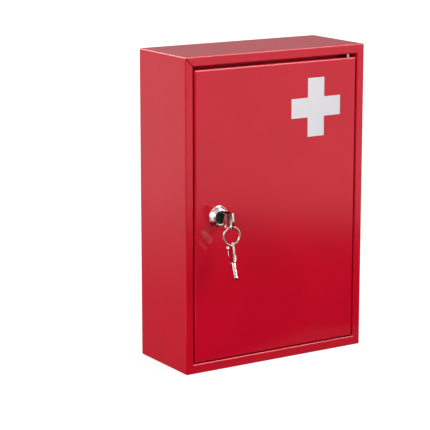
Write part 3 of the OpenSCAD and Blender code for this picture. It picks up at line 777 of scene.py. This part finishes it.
@dataclass
class Lock:
    """The lock's housing, its nut and washer, and the springs of its wafers.

    All but the springs are turned round the plug's line. Depths count from the door's face.

    Attributes:
        foot, cone, ring, rim: the head's steps, each a radius and how far it stands proud.
        foot_slope: the foot's bevel, inwards and down.
        head_radii: of the head's corners, from the bore's mouth round to the body.
        body: radius and length.
        wall, mouth: the least wall at the flats, and the bevel at the bore's end.
        run_in, crest: the length over which the thread starts, its slope and its flat tops.
        track_span, track_slope: angles of the stop washer's track, and of its ramps.
        washer, nut: half the width, the start and the end.
        nut_chamfer: its length, and the radius that clears the corners.
        spring: the coil's radius, the wire's radius and the length.
        spring_place: X and Z of a spring's foot from the line.
    """

    shop: Workshop
    turns: int = 192
    arc_steps: int = 7
    foot: Sizes = mm(11.0, 1.4)
    foot_slope: Sizes = mm(0.5, 0.2)
    cone: Sizes = mm(8.7, 5.4)
    ring: Sizes = mm(8.3, 7.0)
    rim: Sizes = mm(6.81, 4.9)
    head_radii: Sizes = mm(0.05, 0.05, 0.2, 0.55, 0.12, 0.25, 0.2, 0.45, 0.15, 0.05)
    bore: float = 6.06 * MM
    body: Sizes = mm(9.0, 10.0)
    body_steps: int = 121
    wall: float = 0.5 * MM
    mouth: float = 0.4 * MM
    flat: float = 8.0 * MM
    play: float = 0.15 * MM
    pitch: float = 1.0 * MM
    thread: float = 0.42 * MM
    run_in: float = 0.8 * MM
    crest: Pair = (1.3, 0.15)
    track_depth: float = 1.5 * MM
    track_span: Pair = (math.radians(-13.5), math.radians(103.5))
    track_slope: float = 0.02
    washer: Sizes = mm(11.5, 0.8, 1.8)
    washer_edge: float = 0.2 * MM
    nut: Sizes = mm(11.0, 1.8, 5.3)
    nut_steps: int = 22
    nut_chamfer: Sizes = mm(0.9, 12.7)
    nut_face: float = 0.1 * MM
    nut_play: float = 0.05 * MM
    nut_edge: float = 0.35 * MM
    spring: Sizes = mm(0.39, 0.11, 4.4)
    spring_turns: float = 7.0
    spring_steps: int = 225
    wire_sides: int = 10
    flat_turn: float = 0.8
    spring_place: Sizes = mm(3.775, -2.8)
    wafers: int = 5
    first_wafer: float = -3.6 * MM
    wafer_pitch: float = 2.4 * MM

    def __post_init__(self) -> None:
        """Finds the line that the plug turns about, and the turns round it as a column."""
        self.centre = np.array(joint("lock_turn")["pos_m"])
        self.turn = np.linspace(0.0, math.tau, self.turns, endpoint=False)[:, None]

    def build(self) -> None:
        """Makes and dresses the four pieces."""
        self._housing()
        self._washer()
        self._nut()
        self._springs()

    def _rows(self, profile: Sequence[float]) -> np.ndarray:
        """Returns a round profile's radii at every turn."""
        return np.broadcast_to(profile, (self.turns, len(profile)))

    def _flats(self, distance: float) -> np.ndarray:
        """Returns the radius of two flats at a distance: it, over the cosine of the turn."""
        return distance / np.maximum(np.abs(np.cos(self.turn)), LEAST_COSINE)

    def _turned(self, name: str, node: str, finish: Finish, radii: np.ndarray, depths: np.ndarray,
                smooth: float = 35.0) -> None:
        """Makes one piece on the door, turned round the line.

        Its closed profile runs round the line: the point at turn t and step s lies radii[t, s] from
        it, in the direction (cos t, sin t) of X and Z, at its depth.

        Args:
            name, node, smooth: as for Skin.piece.
            finish: what it is finished in.
            radii: turns x steps.
            depths: one depth for each step, or turns x steps.
        """
        along = np.broadcast_to(depths, radii.shape)
        points = np.stack([radii * np.cos(self.turn), along, radii * np.sin(self.turn)], axis=-1)
        skin = Skin()
        skin.grid(points + self.centre, (True, True))
        self.shop.dress(skin.piece(name, "door", node, smooth=smooth), finish)

    def _housing(self) -> None:
        """Makes the housing.

        A rounded profile gives the head and the bore. The body's radius is its thread's: it falls
        by the thread's depth in a triangle wave of depth over pitch minus turn, and is cut off at
        the two flats. The body's end is lower over the angle that the stop washer's lug travels.
        """
        (foot_r, foot_t), (slope_r, slope_t) = self.foot, self.foot_slope
        (cone_r, cone_t), (ring_r, ring_t), (rim_r, rim_t) = self.cone, self.ring, self.rim
        body_r, body_l = self.body
        head = rounded(np.array([
            (self.bore, -rim_t), (rim_r, -rim_t), (rim_r, -ring_t), (ring_r, -ring_t),
            (ring_r, -cone_t), (cone_r, -cone_t), (foot_r - slope_r, -foot_t),
            (foot_r, -foot_t + slope_t), (foot_r, 0.0), (body_r - self.thread, 0.0)]),
            self.head_radii, self.arc_steps)
        steps = np.linspace(0.0, body_l, self.body_steps)
        wave = np.abs((steps / self.pitch - self.turn / math.tau) % 1.0 * 2 - 1)
        slope, top = self.crest
        fall = 1 - np.clip(slope * wave - top, 0.0, 1.0)
        run_in = np.clip(np.minimum(steps, body_l - steps) / self.run_in, 0.0, 1.0)
        radii = body_r - self.thread * (1 - run_in * fall)
        body = np.minimum(radii, np.maximum(self._flats(self.flat), self.bore + self.wall))
        radii = np.concatenate([self._rows(head[:, 0]), body,
                                self._rows((self.bore + self.mouth, self.bore))], axis=1)
        depths = np.concatenate([head[:, 1], steps, (body_l, body_l)])
        first, last = self.track_span
        angle = (-math.pi / 2 - self.turn) % math.tau
        angle = np.where(angle > math.pi, angle - math.tau, angle)
        track = (np.clip((angle - first) / self.track_slope, 0, 1)
                 * np.clip((last - angle) / self.track_slope, 0, 1))
        self._turned("lock_barrel", "lock_housing", CHROME, radii,
                     np.minimum(depths, body_l - self.track_depth * track))

    def _washer(self) -> None:
        """Makes the washer under the nut, with its edges rounded and a hole that fits the flats."""
        outer, start, end = self.washer
        soft = self.washer_edge
        hole = np.minimum(self.body[0] + self.play, self._flats(self.flat + self.play))
        rim = self._rows((outer - soft, outer, outer, outer - soft))
        self._turned("lock_spacer", "lock_washer", ZINC, np.concatenate([hole, rim, hole], axis=1),
                     np.array([start, start, start + soft, end - soft, end, end]))

    def _nut(self) -> None:
        """Makes the nut.

        Its six sides lie at half its width over the cosine of the turn within its sixth, and both
        ends are cut back by a cone, so the smaller of the two radii counts at each depth.
        """
        flats, start, end = self.nut
        length, corner = self.nut_chamfer
        side = flats / np.cos(self.turn % (math.pi / 3) - math.pi / 6)
        steps = np.linspace(start, end, self.nut_steps)
        rise = np.minimum(steps - start, end - steps) / length
        body = np.minimum(side, flats + self.nut_face + (corner - flats) * rise)
        hole, soft = self.body[0] + self.nut_play, self.nut_edge
        radii = np.concatenate([body, self._rows((hole + soft, hole, hole, hole + soft))], axis=1)
        depths = np.concatenate([steps, (end, end - soft, start + soft, start)])
        self._turned("hex_nut", "lock_nut", ZINC, radii, depths, smooth=20.0)

    def _springs(self) -> None:
        """Makes the coil springs: wires carried along a helix that lies flat at both ends."""
        coil, wire, length = self.spring
        turn = np.linspace(0.0, math.tau * self.spring_turns, self.spring_steps)[:, None]
        rise = (turn / math.tau - self.flat_turn) / (self.spring_turns - 2 * self.flat_turn)
        rise = np.clip(rise, 0.0, 1.0)
        out = np.concatenate([np.cos(turn), np.sin(turn), np.zeros_like(turn)], axis=1)
        skin = Skin()
        for number in range(self.wafers):
            base = self.centre + (self.spring_place[0],
                                  self.first_wafer + number * self.wafer_pitch,
                                  self.spring_place[1])
            path = base + coil * out + UP * (wire + (length - 2 * wire) * rise)
            sweep(skin, path, out, UP, disc(wire, self.wire_sides))
        piece = skin.piece("wafer_coils", "plug", "wafer_springs", smooth=60.0)
        self.shop.dress(piece, SPRING)


@dataclass
class Sheetwork:
    """The strip that backs the gap above the door, and the cross on the door.

    Attributes:
        strip_x, strip_z: from and to, on the object.
        strip_depth: from and to, behind the cabinet's front.
        strip_radii: of its section's corners, from under the fold on.
        front: the Y of the cabinet's front and of the door's face.
    """

    shop: Workshop
    strip_x: Sizes = mm(-94.5, 81.8)
    strip_depth: Sizes = mm(10.45, 12.1)
    strip_z: Sizes = mm(304.0, 310.8)
    strip_radii: Sizes = mm(0.05, 0.8, 0.25, 0.25, 1.6, 0.05)
    strip_arc: int = 7
    strip_steps: int = 12
    sheet: float = 0.8 * MM
    front: float = -44.0 * MM
    cross_centre: Sizes = mm(47.5, 259.2)
    cross_size: float = 60.0 * MM
    cross_arm: float = 20.0 * MM
    cross_radius: float = 0.35 * MM
    cross_arc: int = 6
    film: float = 0.2 * MM
    film_edge: float = 0.07 * MM

    def build(self) -> None:
        """Makes and dresses the two pieces."""
        self._strip()
        self._cross()

    def _strip(self) -> None:
        """Makes the strip: a turned-down edge of the upper lip, whose section runs along X."""
        (start, back), (low, high) = self.strip_depth, self.strip_z
        front, under = back - self.sheet, high - self.sheet
        corners = np.array([(start, under), (front, under), (front, low), (back, low),
                            (back, high), (start, high)])
        x = np.linspace(*self.strip_x, self.strip_steps)
        path = np.column_stack([x, np.full_like(x, self.front), np.zeros_like(x)])
        skin = Skin()
        sweep(skin, path, INWARD, UP, rounded(corners, self.strip_radii, self.strip_arc))
        self.shop.dress(skin.piece("top_stop_strip", "cabinet"), THIN_COAT)

    def _cross(self) -> None:
        """Makes the cross: film with its corners and its front edge slightly softened.

        Its outline is one arm's end and the inner corner after it, in each of four quarter turns.
        """
        half, arm = self.cross_size / 2, self.cross_arm / 2
        quarter = np.array([(arm, -half), (arm, -arm), (half, -arm)])
        turns = [quarter @ np.array([(math.cos(a), math.sin(a)), (-math.sin(a), math.cos(a))])
                 for a in np.arange(4) * math.pi / 2]
        corners = np.concatenate(turns)
        outline = rounded(corners, (self.cross_radius,) * len(corners), self.cross_arc)
        x, z = self.cross_centre

        def stuck(points: np.ndarray) -> np.ndarray:
            """Carries the film onto the door's face."""
            return np.stack([x + points[..., 0], self.front - self.film / 2 - points[..., 2],
                             z + points[..., 1]], axis=-1)

        skin = Skin()
        Stamping(self.film, self.film_edge).build(skin, stuck, outline)
        self.shop.dress(skin.piece("cross_film", "door", "white_cross"), FILM)


@dataclass
class Construction:
    """The frame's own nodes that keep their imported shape."""

    shop: Workshop
    finishes: dict[str, Finish] = field(default_factory=lambda: {
        "cabinet_shell": COAT, "back_panel": COAT, "upper_shelf": COAT, "lower_shelf": COAT,
        # The hinge washer's near-black colour is painted shade.
        "hinge_washer": WASHER_PAINTED_SHADE, "door_panel": COAT,
        "upper_pivot_bracket": COAT, "lower_pivot_bracket": COAT,
        "upper_hinge_pin": ZINC, "lower_hinge_pin": ZINC,
        # The lock plug's near-black colour is painted shade.
        "lock_plug": PLUG_PAINTED_SHADE, "wafer_tumblers": BRASS, "stop_washer": ZINC,
        "lock_cam": ZINC, "cam_washer": ZINC, "cam_screw": ZINC})

    def build(self) -> None:
        """Dresses the nodes."""
        for name, finish in self.finishes.items():
            self.shop.dress(frame["nodes"][name], finish)


@dataclass(frozen=True)
class Lamp:
    """A soft square lamp that points at the cabinet."""

    name: str
    place: Point
    side: float
    watts: float
    target: Point = (0.0, 0.0, 0.16)

    def build(self) -> None:
        """Adds the lamp."""
        light = bpy.data.lights.new(self.name, "AREA")
        light.shape = "SQUARE"
        light.size = self.side
        light.energy = self.watts
        holder = put(self.name, light)
        away = np.array(self.place) - np.array(self.target)
        flat = math.hypot(away[0], away[1])
        holder.location = self.place
        holder.rotation_euler = (math.atan2(flat, away[2]), 0.0, math.atan2(away[0], -away[1]))


@dataclass
class Studio:
    """A plain pale floor in a white room, with soft lamps and the photograph's camera.

    An edge is where a change starts and ends, in metres on the floor or as a part of a direction,
    and levels are the strengths before and after it.

    Attributes:
        yaw, pitch: the camera's turn to the right and down.
        floor_centre, front_edge: the floor's middle, and the edge out to which its painted
            reflection is dark.
        turn_centre, behind_edge: where directions on the floor start, and which lie behind.
        left_edge: of the white part of the floor's painted reflection, along X.
        white_edge, white_levels: of the floor that is looked at.
        wall_edge, wall_levels: of the wall behind, from left to right.
        low_edge: how high the shades of the walls reach.
        softboxes: directions of the lights that only reflections find.
    """

    camera_place: Point = (-1.009777, -1.53074, 0.544497)
    yaw: float = 0.562
    pitch: float = 0.215
    focal_px: float = 1812.585
    frame_px: int = 430
    sensor: float = 36.0
    floor_half: float = 6.0
    floor_grey: float = 0.40
    room_light: float = 0.6
    floor_centre: Point = (0.0, -0.10, 0.0)
    front_edge: Pair = (0.52, 0.74)
    turn_centre: Point = (0.10, -0.12, 0.0)
    white_edge: Pair = (0.7, 2.5)
    white_levels: Pair = (0.72, 1.0)
    behind_edge: Pair = (0.22, 0.48)
    left_edge: Pair = (-0.18, -0.30)
    back_edge: Pair = (0.25, 1.3)
    back_levels: Pair = (0.19, 0.78)
    corner_way: Pair = (-0.643, -0.766)
    corner_edge: Pair = (0.66, 0.85)
    corner_level: float = 0.05
    wall_edge: Pair = (-0.5, 0.9)
    wall_levels: Pair = (0.70, 0.22)
    low_edge: Pair = (0.25, 0.6)
    softboxes: tuple[Point, ...] = ((-0.21, 0.83, 0.52), (0.52, -0.21, 0.83))
    softbox_edge: Pair = (0.955, 0.985)
    softbox_light: float = 4.0
    lamps: tuple[Lamp, ...] = (
        Lamp("key_lamp", (-2.5, -0.8, 1.05), 1.7, 47.0),
        Lamp("fill_lamp", (0.85, -1.2, 1.3), 0.8, 17.2),
        Lamp("top_lamp", (0.62, -0.25, 1.55), 0.7, 0.3, target=(0.0, 0.0, 0.32)),
        Lamp("back_lamp", (-0.55, 1.35, 1.30), 0.7, 2.8, target=(0.0, 0.0, 0.32)),
    )

    def build(self) -> None:
        """Adds the floor, the room's light, the lamps and the camera."""
        self._floor()
        self._room()
        for lamp in self.lamps:
            lamp.build()
        self._camera()
        bpy.context.scene.view_settings.view_transform = "Standard"

    def _camera(self) -> None:
        """Adds the camera where the photograph was taken from."""
        data = bpy.data.cameras.new("camera")
        data.sensor_width = self.sensor
        data.lens = self.focal_px / self.frame_px * self.sensor
        camera = put("camera", data)
        camera.location = self.camera_place
        camera.rotation_euler = (math.pi / 2 - self.pitch, 0.0, -self.yaw)
        bpy.context.scene.camera = camera

    def _floor(self) -> None:
        """Adds the floor: a wide flat square that the cabinet's underside stands on.

        Straight looks find it white where no shadow falls. To reflections alone it glows with a
        painted
        reflection: a round patch, dark in front, white on the left and grey behind, on a white
        ground.
        """
        half = self.floor_half
        mesh = bpy.data.meshes.new("floor")
        mesh.from_pydata([(-half, -half, 0), (half, -half, 0), (half, half, 0), (-half, half, 0)],
                         [], [(0, 1, 2, 3)])
        floor = put("floor", mesh)
        material, g = blank("pale_floor")
        straight, glossy = g.rays()
        point = g.place()
        away = g.vector("DISTANCE", point, self.floor_centre, output="Value")
        x, y, _ = g.parts(g.vector("NORMALIZE", g.vector("SUBTRACT", point, self.turn_centre)))
        front = g.ramp(away, *self.front_edge)
        front = front.highest(g.ramp(g.parts(point)[0], *self.left_edge))
        back = g.ramp(away, *self.back_edge, *self.back_levels)
        behind = g.ramp(y, *self.behind_edge)
        # A painted reflection: the glow that only reflections find on the floor.
        painted_reflection = (front + behind * (back - front)) * self._corner(g, x, y)
        white = g.glow("ShaderNodeEmission",
                       straight * g.ramp(away, *self.white_edge, *self.white_levels))
        matt = g.node("ShaderNodeBsdfDiffuse", {}, {"Color": rgba((self.floor_grey,) * 3)})
        plain = g.node("ShaderNodeAddShader", {}, {0: white, 1: matt})
        mirrored = g.glow("ShaderNodeEmission", painted_reflection)
        shader = g.node("ShaderNodeMixShader", {}, {0: glossy, 1: plain, 2: mirrored})
        g.node("ShaderNodeOutputMaterial", {}, {"Surface": shader})
        mesh.materials.append(material)

    def _corner(self, g: Graph, x: Value, y: Value) -> Value:
        """Returns how light the room is in a direction: dark where the photographer stands."""
        toward = self.corner_way[0] * x + self.corner_way[1] * y
        return g.ramp(toward, *self.corner_edge, 1.0, self.corner_level)

    def _room(self) -> None:
        """Fills the room with white light.

        Straight looks find white. Reflections find white walls, a dark corner where the
        photographer stands, at the front left, and a grey back on the right.
        """
        world = bpy.data.worlds.new("room")
        world.use_nodes = True
        bpy.context.scene.world = world
        g = Graph(world.node_tree)
        straight, glossy = g.rays()
        x, y, z = g.parts(g.node("ShaderNodeTexCoord", output="Generated"))
        behind = g.ramp(y, *self.behind_edge)
        walls = 1.0 + behind * (g.ramp(x, *self.wall_edge, *self.wall_levels) - 1.0)
        low = g.ramp(z, *self.low_edge, 1.0, 0.0)
        walls = 1.0 + low * (walls * self._corner(g, x, y) - 1.0)
        for box in self.softboxes:
            toward = box[0] * x + box[1] * y + box[2] * z
            walls = walls + self.softbox_light * g.ramp(toward, *self.softbox_edge)
        diffuse = g.glow("ShaderNodeBackground", self.room_light)
        mirrored = g.glow("ShaderNodeBackground", walls)
        plain = g.glow("ShaderNodeBackground", 1.0)
        lit = g.node("ShaderNodeMixShader", {}, {0: glossy, 1: diffuse, 2: mirrored})
        shader = g.node("ShaderNodeMixShader", {}, {0: straight, 1: lit, 2: plain})
        g.node("ShaderNodeOutputWorld", {}, {"Surface": shader})


def main() -> None:
    logging.basicConfig(level=logging.INFO, format="%(name)s %(message)s")
    shop = Workshop()
    for maker in (Keys(shop), Lock(shop), Sheetwork(shop), Construction(shop), Studio()):
        maker.build()


if __name__ == "__main__":
    main()
